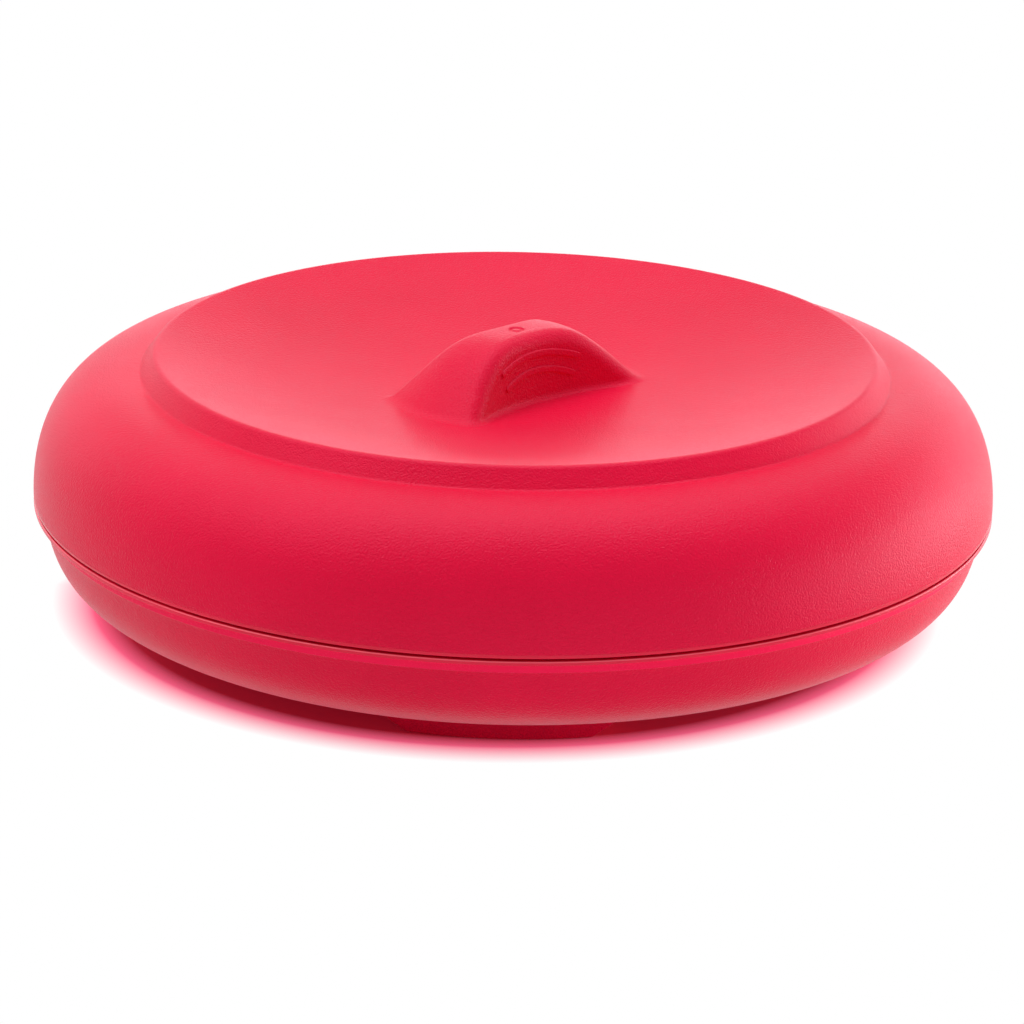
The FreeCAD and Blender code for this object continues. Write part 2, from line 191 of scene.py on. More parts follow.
class WarmerStudio(bpy.types.PropertyGroup):
    """Camera, floor and lamps"""

    distance: bpy.props.FloatProperty(
        name="Camera distance", description="Camera to the middle of the seam", default=1.125,
        unit="LENGTH", subtype="DISTANCE",
    )
    elevation: turn("Elevation", "Camera above the seam's plane", 19.01)
    roll: turn("Roll", "Clockwise turn of the picture", 1.12)
    lens_pixels: plain("Lens", "Focal length in pixels of a 1024 pixel frame", 4305.0)
    aim_right: plain("Aim right", "Middle of the seam from the frame's centre, pixels", 1.3, -1024.0)
    aim_down: plain("Aim down", "Middle of the seam from the frame's centre, pixels", -24.7, -1024.0)
    floor: colour("Floor", "Colour of the floor", (0.9, 0.9, 0.9))
    # painted shadow: the red shadow round the base, its glow at the edge and the red of the paper under
    # it are painted into the floor's colour and light; these settings give their colours and where they
    # lie
    painted_shadow_paper: colour("Floor tint", "Colour of the paper in the red shadow", (0.70, 0.07, 0.14))
    floor_shadow: colour("Floor shadow", "Light of the red shadow at the feet", (0.10, 0.001, 0.005))
    floor_glow: colour("Floor glow", "Light of the red shadow at its edge", (0.74, 0.12, 0.23))
    shadow_left: length("Shadow left", "Middle of the red shadow from the axis, to the left", 4.0)
    shadow_back: length("Shadow back", "Middle of the red shadow from the axis, to the back", 16.0)
    shadow_dark: length("Dark shadow", "Radius up to which the red shadow is at its darkest", 102.0)
    shadow_pale: length("Pale shadow", "Radius from which the red shadow has its edge colour", 109.0)
    paper_start: length("Paper start", "Radius where the red shadow starts to turn white", 107.5)
    paper_white: length("White paper", "Radius from which the floor looks white", 118.0)
    shadow_end: length("Shadow end", "Place behind the axis where the shadow is cut back in full", 136.0)
    shadow_cut: length("Shadow cut", "How much nearer the shadow ends at the back", 40.0)
    ambient: plain("Ambient", "Light from the pale room all around", 0.40)
    overhead: plain("Overhead lamp", "Power of the soft box above, watts", 13.0)
    front_left: plain("Front left lamp", "Power of the soft box on the left, watts", 4.4)
    rear_right: plain("Rear right lamp", "Power of the soft box behind on the right, watts", 2.1)
    low_right: plain("Low right lamp", "Power of the soft box on the table at the right, watts", 0.8)
    rear_low: plain("Rear low box", "Power of the long low soft box behind, watts", 5.0)
    front_low: plain("Front low box", "Power of the strip low on the table in front, watts", 1.0)
    rear_left: plain("Rear left lamp", "Power of the soft box behind on the left, watts", 1.0)


GROUPS = (
    ("warmer_seam", WarmerSeamSizes),
    ("warmer_lid", WarmerLidSizes),
    ("warmer_grip", WarmerGripSizes),
    ("warmer_base", WarmerBaseSizes),
    ("warmer_foot", WarmerFootSizes),
    ("warmer_finish", WarmerFinish),
    ("warmer_studio", WarmerStudio),
)


class Levels:
    """Heights above the table and radii that follow from the settings, in metres"""

    def __init__(self, scene):
        seam, lid, base = scene.warmer_seam, scene.warmer_lid, scene.warmer_base
        self.bowl = base.foot_height
        self.flange = self.bowl + base.bowl_depth
        self.base_shell_top = self.flange + base.flange_height
        self.base_rim_top = self.base_shell_top + seam.rim_edge
        self.food_floor = self.base_rim_top - base.food_depth
        self.lid_rim = self.base_rim_top + seam.seam_gap
        self.seat = self.lid_rim - base.seat_clearance
        self.lid_shell = self.lid_rim + seam.rim_edge
        self.ceiling = self.lid_rim + lid.headroom
        self.crease = self.lid_shell + lid.shoulder_height
        self.crest = self.crease + lid.step_height
        self.dish = self.crest - lid.dish_depth
        self.dish_sphere = (lid.crest_radius ** 2 + lid.dish_depth ** 2) / (2.0 * lid.dish_depth)
        self.flange_radius = seam.radius - base.flange_inset
        self.bowl_radius = self.flange_radius - base.flange_overhang
        self.skirt_radius = seam.mouth_radius - seam.skirt_clearance

    def dish_height(self, radius):
        """Level of the dish at that radius."""
        return self.dish + self.dish_sphere - np.sqrt(self.dish_sphere ** 2 - radius ** 2)


# ---- half sections
def handle_curve(start, start_handle, end_handle, end, count):
    """Points of a cubic curve from start to end."""
    points = []
    for step in range(count + 1):
        t = step / count
        near, far = 1.0 - t, t
        points.append(
            start * near ** 3 + start_handle * 3.0 * near ** 2 * far
            + end_handle * 3.0 * near * far ** 2 + end * far ** 3
        )
    return points


def fullness_curve(flat_radius, start_level, side_radius, rise, fullness, count):
    """Points of a curve from an upright side to a level end at flat_radius.

    Its handles reach toward the corner between the two ends by the share fullness.
    """
    return handle_curve(
        Vector((side_radius, start_level)),
        Vector((side_radius, start_level + fullness * rise)),
        Vector((flat_radius + fullness * (side_radius - flat_radius), start_level + rise)),
        Vector((flat_radius, start_level + rise)),
        count,
    )


def bowl_curve(scene, inset, count):
    """Points of the bowl's wall from the flange to its flat underside, moved in by inset."""
    base, levels = scene.warmer_base, Levels(scene)
    side = levels.bowl_radius - inset
    bottom = levels.bowl + inset
    side_handle = base.bowl_side_fullness * (levels.flange - bottom)
    flat_handle = base.bowl_flat_fullness * (side - base.bowl_flat_radius)
    return handle_curve(
        Vector((side, levels.flange)),
        Vector((side - side_handle * math.tan(base.bowl_draft), levels.flange - side_handle)),
        Vector((base.bowl_flat_radius + flat_handle, bottom)),
        Vector((base.bowl_flat_radius, bottom)),
        count,
    )


def rounded(points, corner, radius, steps):
    """The points with the one at the place corner exchanged for an arc."""
    before = max(
        (i for i in range(corner) if (points[i] - points[corner]).length > 1e-6), default=0
    )
    middle = points[corner]
    to_before = (points[before] - middle).normalized()
    to_after = (points[corner + 1] - middle).normalized()
    half = 0.5 * to_before.angle(to_after)
    reach = radius / math.tan(half)
    centre = middle + (to_before + to_after).normalized() * (radius / math.sin(half))
    start = middle + to_before * reach - centre
    end = middle + to_after * reach - centre
    sweep = start.angle_signed(end)
    arc = []
    for step in range(steps + 1):
        angle = -sweep * step / steps
        c, s = math.cos(angle), math.sin(angle)
        arc.append(centre + Vector((start.x * c - start.y * s, start.x * s + start.y * c)))
    clear = reach * 1.02
    head = [p for p in points[:corner] if (p - middle).length > clear]
    tail = [p for p in points[corner + 1:] if (p - middle).length > clear]
    return head + arc + tail


def corner_at(points, radius, level):
    """Place in the list of the point nearest to that radius and level."""
    target = Vector((radius, level))
    return min(range(len(points)), key=lambda i: (points[i] - target).length)


def round_corners(points, corners, steps):
    """The points with an arc at each corner (radius, level, rounding)."""
    for radius, level, amount in corners:
        points = rounded(points, corner_at(points, radius, level), amount, steps)
    return points


def flat_middle(radius, level):
    """Two points of a level stretch from the axis out."""
    return [Vector((0.0, level)), Vector((radius, level))]


def liner_curve(scene, start_level, side_radius, end_level, count):
    """Points of a liner's wall from its upright side to its flat middle."""
    base = scene.warmer_base
    return fullness_curve(
        base.liner_flat_radius, start_level, side_radius, end_level - start_level,
        base.liner_fullness, count,
    )


# ---- mesh by operators
def deselect():
    """Leaves edit mode and selects nothing."""
    if bpy.context.object and bpy.context.object.mode != "OBJECT":
        bpy.ops.object.mode_set(mode="OBJECT")
    bpy.ops.object.select_all(action="DESELECT")


def edit(piece, kind):
    """Opens the piece in edit mode with nothing selected."""
    deselect()
    piece.select_set(True)
    bpy.context.view_layer.objects.active = piece
    bpy.ops.object.mode_set(mode="EDIT")
    bpy.ops.mesh.select_mode(type=kind)
    bpy.ops.mesh.select_all(action="DESELECT")


def close_edit():
    """Turns all normals of the mesh outward and goes back to object mode."""
    bpy.ops.mesh.select_all(action="SELECT")
    bpy.ops.mesh.normals_make_consistent(inside=False)
    bpy.ops.object.mode_set(mode="OBJECT")


def pick_edges(piece, test):
    """Selects the edges of the piece that pass the test; call it in edit mode."""
    bpy.ops.object.mode_set(mode="OBJECT")
    for part in piece.data.edges:
        part.select = test(part)
    bpy.ops.object.mode_set(mode="EDIT")


def start_point(name, place):
    """A new piece of one vertex, selected, in edit mode."""
    deselect()
    bpy.ops.mesh.primitive_plane_add(size=MM, location=(0.0, 0.0, 0.0))
    piece = bpy.context.object
    piece.name = name
    piece.data.name = name
    bpy.ops.object.mode_set(mode="EDIT")
    bpy.ops.mesh.select_mode(type="VERT")
    bpy.ops.mesh.select_all(action="SELECT")
    bpy.ops.mesh.merge(type="CENTER")
    bpy.ops.transform.translate(value=place)
    return piece


TURN_STEPS = 288
SAME_PLACE = 0.002 * MM


def turned(name, profile):
    """A piece turned about the axis from the points (radius, level) of its half section."""
    piece = start_point(name, (profile[0].x, 0.0, profile[0].y))
    last = profile[0]
    for spot in profile[1:]:
        step = spot - last
        bpy.ops.mesh.extrude_region_move(TRANSFORM_OT_translate={"value": (step.x, 0.0, step.y)})
        last = spot
    bpy.ops.mesh.select_all(action="SELECT")
    bpy.ops.mesh.remove_doubles(threshold=SAME_PLACE)
    bpy.ops.mesh.select_all(action="SELECT")
    bpy.ops.mesh.spin(steps=TURN_STEPS, angle=FULL_TURN, center=(0.0, 0.0, 0.0), axis=(0.0, 0.0, 1.0))
    bpy.ops.mesh.select_all(action="SELECT")
    bpy.ops.mesh.remove_doubles(threshold=SAME_PLACE)
    close_edit()
    return piece


def joined(name, pieces):
    """The pieces as one object of that name."""
    deselect()
    for piece in pieces:
        piece.select_set(True)
    bpy.context.view_layer.objects.active = pieces[0]
    bpy.ops.object.join()
    whole = bpy.context.object
    whole.name = name
    whole.data.name = name
    return whole


def placed_turns(piece, count, first, name):
    """Copies of the piece at equal turns about the axis, joined, each from its own mesh."""
    copies = []
    for index in range(count):
        copy = piece.copy()
        copy.data = piece.data.copy()
        bpy.context.scene.collection.objects.link(copy)
        angle = first + index * FULL_TURN / count
        copy.data.transform(Matrix.Rotation(angle, 4, "Z"))
        copies.append(copy)
    bpy.data.objects.remove(piece)
    return joined(name, copies)


def finish_piece(piece, material, body, slot, *nodes, sharp=38.0):
    """Smooths the piece but for edges sharper than that many degrees, gives it its material and its
    body, and hides the CAD nodes that it stands for. The slot is not used."""
    deselect()
    piece.select_set(True)
    bpy.context.view_layer.objects.active = piece
    bpy.ops.object.shade_smooth_by_angle(angle=math.radians(sharp))
    piece.data.materials.clear()
    piece.data.materials.append(material)
    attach(piece, body)
    if nodes:
        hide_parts(*nodes)


# ---- materials
class Wire:
    """A node's output socket, with arithmetic that adds Math nodes"""

    def __init__(self, tree, socket):
        self.tree = tree
        self.socket = socket

    def _math(self, operation, *values):
        return self.tree.add("ShaderNodeMath", {"operation": operation}, dict(enumerate(values)))

    def __add__(self, other):
        return self._math("ADD", self, other)

    def __radd__(self, other):
        return self._math("ADD", other, self)

    def __sub__(self, other):
        return self._math("SUBTRACT", self, other)

    def __rsub__(self, other):
        return self._math("SUBTRACT", other, self)

    def __mul__(self, other):
        return self._math("MULTIPLY", self, other)

    def __rmul__(self, other):
        return self._math("MULTIPLY", other, self)


PLAIN_RAYS = ("Is Camera Ray", "Is Glossy Ray", "Is Transmission Ray")
BLACK = (0.0, 0.0, 0.0, 1.0)
WHITE = (1.0, 1.0, 1.0, 1.0)


class Tree:
    """The nodes of a material or a world, made one call each"""

    def __init__(self, owner):
        owner.use_nodes = True
        self.owner = owner
        self.nodes = owner.node_tree.nodes
        self.links = owner.node_tree.links
        self.nodes.clear()

    def add(self, kind, settings=None, inputs=None, output=0):
        """Adds a node with its settings, then its inputs, and returns one output."""
        node = self.nodes.new(kind)
        for key, value in (settings or {}).items():
            setattr(node, key, value)
        for key, value in (inputs or {}).items():
            target = node.inputs[key]
            if isinstance(value, Wire):
                self.links.new(value.socket, target)
            else:
                target.default_value = value
        if not node.outputs:
            return None
        return Wire(self, node.outputs[output])

    def place(self):
        """Place on the object, in metres."""
        return self.add("ShaderNodeTexCoord", output="Object")

    def along(self, place, axis):
        """One coordinate of a place."""
        return self.add("ShaderNodeSeparateXYZ", {}, {"Vector": place}, output=axis)

    def distance(self, place, centre):
        """How far a place is from a fixed point."""
        inputs = {0: place, 1: centre}
        return self.add("ShaderNodeVectorMath", {"operation": "DISTANCE"}, inputs, output="Value")

    def noise(self, place, scale, detail):
        """Smooth noise with that many features per metre."""
        return self.add(
            "ShaderNodeTexNoise", {"noise_dimensions": "3D"},
            {"Vector": place, "Scale": scale, "Detail": detail, "Roughness": 0.5},
        )

    def spread(self, value, low, high, to_low=0.0, to_high=1.0):
        """The value mapped from one range to another and clamped to it."""
        return self.add(
            "ShaderNodeMapRange", {"clamp": True},
            {"Value": value, "From Min": low, "From Max": high, "To Min": to_low, "To Max": to_high},
        )

    def band(self, value, rise, fall):
        """1 between the two ranges, 0 outside them, with a ramp over each."""
        return self.spread(value, *rise) * self.spread(value, *fall, 1.0, 0.0)

    def blend(self, mask, first, second):
        """Colour mix."""
        return self.add(
            "ShaderNodeMix", {"data_type": "RGBA"}, {0: mask, 6: first, 7: second}, output=2
        )

    def seen_plainly(self):
        """1 or more for what the camera, a reflection or clear plastic shows, 0 for other light."""
        rays = [self.add("ShaderNodeLightPath", output=kind) for kind in PLAIN_RAYS]
        return rays[0] + rays[1] + rays[2]

    def bump(self, height, strength, distance):
        """Normal of a surface with that relief."""
        inputs = {"Height": height, "Strength": strength, "Distance": distance}
        return self.add("ShaderNodeBump", {}, inputs)

    def surface(self, inputs):
        """Ends the tree with a Principled shader and returns the material."""
        shader = self.add("ShaderNodeBsdfPrincipled", {}, inputs)
        self.add("ShaderNodeOutputMaterial", {}, {"Surface": shader})
        return self.owner


def new_tree(name):
    """The empty tree of a new material."""
    return Tree(bpy.data.materials.new(name))


def rgba(value):
    return (value[0], value[1], value[2], 1.0)


def shaded(value, share):
    """The colour darkened to that share."""
    return rgba([share * c for c in value])


def flange_band(tree, place):
    """1 on the base's flange, which has a polish and is painted lighter, 0 elsewhere."""
    levels = Levels(bpy.context.scene)
    rise = (levels.flange - 0.2 * MM, levels.flange + 0.3 * MM)
    fall = (levels.base_rim_top, levels.base_rim_top + 0.1 * MM)
    return tree.band(tree.along(place, "Z"), rise, fall)


def painted_highlight_mask(tree, place):
    """1 on the outer rounding of the base's rim, where a highlight is painted, 0 elsewhere."""
    scene = bpy.context.scene
    top = Levels(scene).base_rim_top
    rise = (top - 0.34 * MM, top - 0.20 * MM)
    fall = (top - 0.06 * MM, top)
    line = tree.band(tree.along(place, "Z"), rise, fall)
    rim = math.hypot(scene.warmer_seam.radius, top)
    far = tree.distance(place, (0.0, 0.0, 0.0))
    near_rim = (rim - 3.5 * MM, rim - 2.5 * MM)
    return line * tree.spread(far, *near_rim)


def grained_red(finish):
    """Satin polypropylene with the fine grain of a spark-eroded mould."""
    tree = new_tree("grained_red_plastic")
    place = tree.place()
    polished_painted_lighter = flange_band(tree, place)
    pits = tree.noise(place, 1.0 / finish.grain, 1.0)
    pimples = tree.noise(place, 0.45 / finish.grain, 1.0)
    flow = tree.noise(place, 14.0, 3.0)
    clouds = tree.noise(place, 70.0, 2.0)
    grain = pits * 0.8 + pimples * 0.2
    shade = tree.spread(flow * 0.7 + grain * 0.3, 0.3, 0.7)
    colour_mix = tree.blend(shade, rgba(finish.red_deep), rgba(finish.red))
    # painted light: the flange is painted lighter here; its lower roughness and fainter grain below are
    # its real polish
    colour_mix = tree.blend(polished_painted_lighter, colour_mix, rgba(finish.painted_flange_light))
    rough = finish.shell_roughness + (clouds - 0.5) * 0.06 + (grain - 0.5) * 0.14 - polished_painted_lighter * 0.1
    normal = tree.bump(grain * (1.0 - polished_painted_lighter * 0.9), 1.0, finish.grain_depth)
    return tree.surface({
        "Base Color": colour_mix,
        "Roughness": rough,
        "Normal": normal,
        "Specular IOR Level": 0.16,
        "Specular Tint": (1.0, 0.66, 1.0, 1.0),
        "Sheen Weight": 0.05,
        "Sheen Roughness": 0.3,
        "Sheen Tint": (1.0, 0.75, 1.0, 1.0),
    })


def smooth_red(finish):
    """The same plastic from a part of the mould that has a polish, faintly uneven, with a highlight
    painted on the base rim's edge.
    """
    tree = new_tree("smooth_red_plastic")
    place = tree.place()
    flow = tree.noise(place, 18.0, 3.0)
    fine = tree.noise(place, 0.7 / finish.grain, 2.0)
    shade = tree.spread(flow, 0.3, 0.7)
    colour_mix = tree.blend(shade, rgba(finish.red_deep), rgba(finish.red))
    # painted highlight on the outer rounding of the base's rim
    colour_mix = tree.blend(painted_highlight_mask(tree, place), colour_mix, rgba(finish.painted_rim_highlight))
    rough = finish.liner_roughness + (flow - 0.5) * 0.08 + (fine - 0.5) * 0.06
    normal = tree.bump(fine, 0.6, finish.grain_depth * 0.35)
    return tree.surface({
        "Base Color": colour_mix,
        "Roughness": rough,
        "Normal": normal,
        "Specular IOR Level": 0.3,
    })


def bead_foam(finish):
    """Moulded bead foam: pressed beads with dark seams."""
    tree = new_tree("bead_foam")
    place = tree.place()
    beads_per_metre, seam_width = 330.0, 0.12
    beads = tree.add(
        "ShaderNodeTexVoronoi", {"feature": "DISTANCE_TO_EDGE"},
        {"Vector": place, "Scale": beads_per_metre},
    )
    seam = tree.spread(beads, 0.0, seam_width)
    tone = tree.noise(place, 60.0, 2.0)
    pale = tree.blend(tree.spread(tone, 0.3, 0.7), shaded(finish.foam, 0.9), rgba(finish.foam))
    colour_mix = tree.blend(seam, shaded(finish.foam, 0.7), pale)
    return tree.surface({
        "Base Color": colour_mix,
        "Roughness": 0.85 + (tone - 0.5) * 0.1,
        "Normal": tree.bump(seam, 0.6, 0.25 * MM),
    })


def material(name, make):
    """The named material, made on first use."""
    found = bpy.data.materials.get(name)
    return found or make(bpy.context.scene.warmer_finish)


def shell_red():
    return material("grained_red_plastic", grained_red)


def liner_red():
    return material("smooth_red_plastic", smooth_red)


# ---- grip surface
def soft_corner(first, second, radius):
    """The greater of two distances, with the corner between them rounded."""
    a = first + radius
    b = second + radius
    both = (a > 0.0) & (b > 0.0)
    return np.where(both, np.hypot(a, b) - radius, np.maximum(first, second))


class GripSurface:
    """Height of the dish and the grip over the plane, the grip's long axis along u"""

    def __init__(self, scene):
        grip = scene.warmer_grip
        self.grip = grip
        self.levels = Levels(scene)
        base = float(self.levels.dish_height(grip.half_length))
        self.top = base + grip.rise
        slope = math.tan(grip.end_slope)
        corner = Vector((grip.half_length - grip.rise / slope, self.top))
        centre = Vector((0.0, self.top))
        end = Vector((grip.half_length, base))
        past_end = end + Vector((1.0, -slope)) * 0.5 * grip.half_length
        dome = handle_curve(
            centre, centre.lerp(corner, grip.fullness), end.lerp(corner, grip.fullness), end, 240
        )
        self.dome_radius = np.array([spot.x for spot in dome] + [past_end.x])
        self.dome_level = np.array([spot.y for spot in dome] + [past_end.y])
        self.dome_slope = np.gradient(self.dome_level, self.dome_radius)

    def cone(self, level):
        """Radius of the hollow side at that level."""
        return self.grip.scoop_radius - (self.top - level) * math.tan(self.grip.scoop_draft)

    def wall(self, u, level):
        """Half width of the grip at that place along it and that level."""
        hollow = np.sqrt(np.maximum(self.cone(level) ** 2 - u ** 2, 0.0))
        return self.grip.half_waist + self.grip.scoop_radius - hollow

    def field(self, u, v, level):
        """About the distance to the surface, positive in the air."""
        grip = self.grip
        radius = np.hypot(u, v)
        slope = np.interp(radius, self.dome_radius, self.dome_slope)
        dome = level - np.interp(radius, self.dome_radius, self.dome_level)
        dome = dome / np.sqrt(1.0 + slope ** 2)
        spread = np.sqrt(u ** 2 + (grip.half_waist + grip.scoop_radius - np.abs(v)) ** 2)
        side = (self.cone(level) - spread) * math.cos(grip.scoop_draft)
        body = soft_corner(dome, side, grip.edge_round)
        sphere = self.levels.dish_sphere
        centre = self.levels.dish + sphere
        dish = sphere - np.sqrt(u ** 2 + v ** 2 + (level - centre) ** 2)
        return -soft_corner(-body, -dish, grip.root_round)

    def gate(self, radius):
        """Depth of the moulding gate's ring mark at that distance from the axis."""
        slant = 0.35 * MM
        boss_share = 0.8
        groove = np.clip((self.grip.gate_radius - radius) / slant, 0.0, 1.0)
        core = np.clip((self.grip.gate_core - radius) / slant, 0.0, 1.0)
        return self.grip.gate_depth * (groove - boss_share * core)

    def height(self, u, v):
        """Level of the surface."""
        radius = np.hypot(u, v)
        low = self.levels.dish_height(radius) - MM
        high = np.full_like(low, self.top + MM)
        halvings = 36
        for _ in range(halvings):
            middle = 0.5 * (low + high)
            solid = self.field(u, v, middle) < 0.0
            low = np.where(solid, middle, low)
            high = np.where(solid, high, middle)
        return 0.5 * (low + high) - self.gate(radius)

    def columns(self, u, reach, counts):
        """Distances v of the mesh lines across the grip at u, from the middle out to reach."""
        grip = self.grip
        inner_margin, outer_margin = 0.6 * MM, 0.8 * MM
        foot = float(self.wall(u, self.levels.dish_height(abs(u))))
        inner = float(self.wall(u, self.top)) - grip.edge_round - inner_margin
        outer = foot + grip.root_round + outer_margin
        inner_count, wall_count, outer_count = counts
        samples = 900
        v = np.linspace(inner, outer, samples)
        z = self.height(np.full_like(v, u), v)
        along = np.concatenate(([0.0], np.cumsum(np.hypot(np.diff(v), np.diff(z)))))
        wall = np.interp(np.linspace(0.0, along[-1], wall_count + 1), along, v)
        first = np.linspace(0.0, inner, inner_count + 1)[:-1]
        shift = np.linspace(0.0, 1.0, outer_count + 1)[1:]
        even, widening = 0.35, 0.65
        last = outer + (reach - outer) * (even * shift + widening * shift ** 2)
        return np.concatenate((first, wall, last))


def grip_rows(reach):
    """Places of the mesh lines along the grip, closer at the gate mark and the tips.

    Each stretch is given in millimetres from the middle of the grip.
    """
    gate = np.arange(0.15, 2.3, 0.3)
    waist = np.linspace(2.6, 21.0, 20)
    tips = np.linspace(21.6, 36.5, 26)
    dish = np.linspace(37.6, reach / MM, 4)
    half = np.concatenate((gate, waist, tips, dish)) * MM
    return np.concatenate((-half[::-1], half))


# ---- lid
def lid_rings(scene, start_radius):
    """Points (radius, level) from the dish over the edge of the lid and back inside."""
    lid, seam = scene.warmer_lid, scene.warmer_seam
    levels = Levels(scene)
    points = [
        Vector((r, float(levels.dish_height(r))))
        for r in np.linspace(start_radius, lid.crest_radius, 12)
    ]
    crease = Vector((lid.crease_radius, levels.crease))
    shoulder = fullness_curve(
        crease.x, levels.lid_shell, seam.radius, lid.shoulder_height, lid.shoulder_fullness, 40
    )
    points += shoulder[::-1]
    points = round_corners(points, [(crease.x, crease.y, lid.crease_round)], 6)
    points = round_corners(points, [(lid.crest_radius, levels.crest, lid.crest_round)], 9)
    points = rounded(
        points + [Vector((seam.radius - seam.shell_wall, levels.lid_shell))],
        len(points) - 1, seam.shell_parting_round, 3,
    )
    wall = seam.shell_wall
    inner = fullness_curve(
        crease.x - 0.5 * wall, levels.lid_shell, seam.radius - wall, lid.shoulder_height - wall,
        lid.shoulder_fullness, 12,
    )
    points += inner[1:]
    points.append(Vector((lid.crest_radius - 0.5 * wall, levels.crest - wall)))
    for r in np.linspace(lid.crest_radius, start_radius, 4)[1:]:
        points.append(Vector((r, float(levels.dish_height(r)) - wall)))
    points.append(Vector((0.4 * start_radius, float(levels.dish_height(0.4 * start_radius)) - wall)))
    return points


def lid_patch(scene, reach, counts):
    """The middle of the lid with the grip, as a square sheet."""
    surface = GripSurface(scene)
    rows = grip_rows(reach)
    across = [surface.columns(u, reach, counts) for u in rows]
    columns = 2 * len(across[0]) - 1
    deselect()
    bpy.ops.mesh.primitive_grid_add(
        x_subdivisions=len(rows) - 1, y_subdivisions=columns - 1, size=2.0
    )
    piece = bpy.context.object
    piece.name = "lid_shell"
    piece.data.name = "lid_shell"
    table = np.array([np.concatenate((-v[:0:-1], v)) for v in across])
    u = np.repeat(rows[:, None], columns, axis=1)
    level = surface.height(u, table)
    turned_by = Matrix.Rotation(scene.warmer_grip.angle, 4, "Z")
    for vertex in piece.data.vertices:
        i = round((vertex.co.x + 1.0) * 0.5 * (len(rows) - 1))
        j = round((vertex.co.y + 1.0) * 0.5 * (columns - 1))
        vertex.co = turned_by @ Vector((u[i, j], table[i, j], level[i, j]))
    return piece


def grow_ring(radius_ratio, rise):
    """Extrudes the selected ring and widens and lifts the new one."""
    bpy.ops.mesh.extrude_region_move(TRANSFORM_OT_translate={"value": (0.0, 0.0, 0.0)})
    bpy.ops.transform.resize(value=(radius_ratio, radius_ratio, 1.0), center_override=(0.0, 0.0, 0.0))
    bpy.ops.transform.translate(value=(0.0, 0.0, rise))


def build_lid_shell(scene):
    """The patch with the grip, widened to a circle and then ring by ring over the lid's edge."""
    reach = 40.0 * MM
    round_radius = 64.0 * MM
    steps = 7
    levels = Levels(scene)
    piece = lid_patch(scene, reach, (11, 44, 13))
    edit(piece, "EDGE")
    bpy.ops.mesh.select_non_manifold()
    for step in range(1, steps + 1):
        bpy.ops.mesh.extrude_region_move(TRANSFORM_OT_translate={"value": (0.0, 0.0, 0.0)})
        bpy.ops.object.mode_set(mode="OBJECT")
        share = 1.0 / (steps + 1 - step)
        for vertex in piece.data.vertices:
            if vertex.select:
                radius = math.hypot(vertex.co.x, vertex.co.y)
                wanted = radius + (round_radius - radius) * share
                vertex.co.x *= wanted / radius
                vertex.co.y *= wanted / radius
                vertex.co.z = float(levels.dish_height(wanted))
        bpy.ops.object.mode_set(mode="EDIT")
    last = Vector((round_radius, float(levels.dish_height(round_radius))))
    for spot in lid_rings(scene, round_radius)[1:]:
        grow_ring(spot.x / last.x, spot.y - last.y)
        last = spot
    bpy.ops.mesh.extrude_region_move(TRANSFORM_OT_translate={"value": (0.0, 0.0, 0.0)})
    bpy.ops.mesh.merge(type="CENTER")
    close_edit()
    finish_piece(piece, shell_red(), "lid", "red_shell", "lid_outer_shell")


# radius of the arc, drop of its top under the grip's top, half length; in millimetres
GRIP_RIBS = ((37.0, 3.9, 14.0), (28.0, 8.2, 12.3))


def rib_mesh(piece, surface, side, arc_radius, drop, half_length):
    """Shapes a grid into a rib that lies on one hollow side, with round ends and edges."""
    grip = surface.grip
    half = 0.5 * grip.rib_width
    reach = math.asin(half_length / arc_radius) * arc_radius
    middle = arc_radius - half
    centre = surface.top - drop - arc_radius
    turned_by = Matrix.Rotation(grip.angle, 4, "Z")
    edge_share = 0.45
    sunk = 0.06 * MM
    root = 0.4 * MM
    border = 0.999
    for vertex in piece.data.vertices:
        along, across = vertex.co.x, vertex.co.y
        body = reach * along
        past = max(0.0, abs(body) - reach + half)
        room = math.sqrt(max(0.0, half ** 2 - past ** 2)) if past < half else 0.0
        edge = min(1.0, (1.0 - abs(across)) / edge_share)
        lift = grip.rib_proud * math.sqrt(max(0.0, 1.0 - (1.0 - edge) ** 2))
        lift *= math.sqrt(max(0.0, 1.0 - (past / half) ** 4)) if past > 0.0 else 1.0
        turn_angle = body / middle
        radius = middle + across * room
        u = radius * math.sin(turn_angle)
        level = centre + radius * math.cos(turn_angle)
        v = float(surface.wall(np.float64(u), level)) + lift - sunk
        if abs(across) > border or abs(along) > border:
            v -= root
        vertex.co = turned_by @ Vector((u, side * v, level))


def build_grip_ribs(scene):
    """Two raised ribs on each hollow side of the grip."""
    surface = GripSurface(scene)
    ribs = []
    for side in (-1, 1):
        for arc_radius, drop, half_length in GRIP_RIBS:
            deselect()
            bpy.ops.mesh.primitive_grid_add(x_subdivisions=72, y_subdivisions=14, size=2.0)
            rib = bpy.context.object
            rib_mesh(rib, surface, side, arc_radius * MM, drop * MM, half_length * MM)
            edit(rib, "VERT")
            bpy.ops.mesh.select_all(action="SELECT")
            bpy.ops.mesh.remove_doubles(threshold=0.01 * MM)
            bpy.ops.mesh.select_all(action="DESELECT")
            bpy.ops.mesh.select_non_manifold()
            bpy.ops.mesh.edge_face_add()
            close_edit()
            ribs.append(rib)
    finish_piece(joined("grip_ribs", ribs), shell_red(), "lid", "red_shell", sharp=50.0)


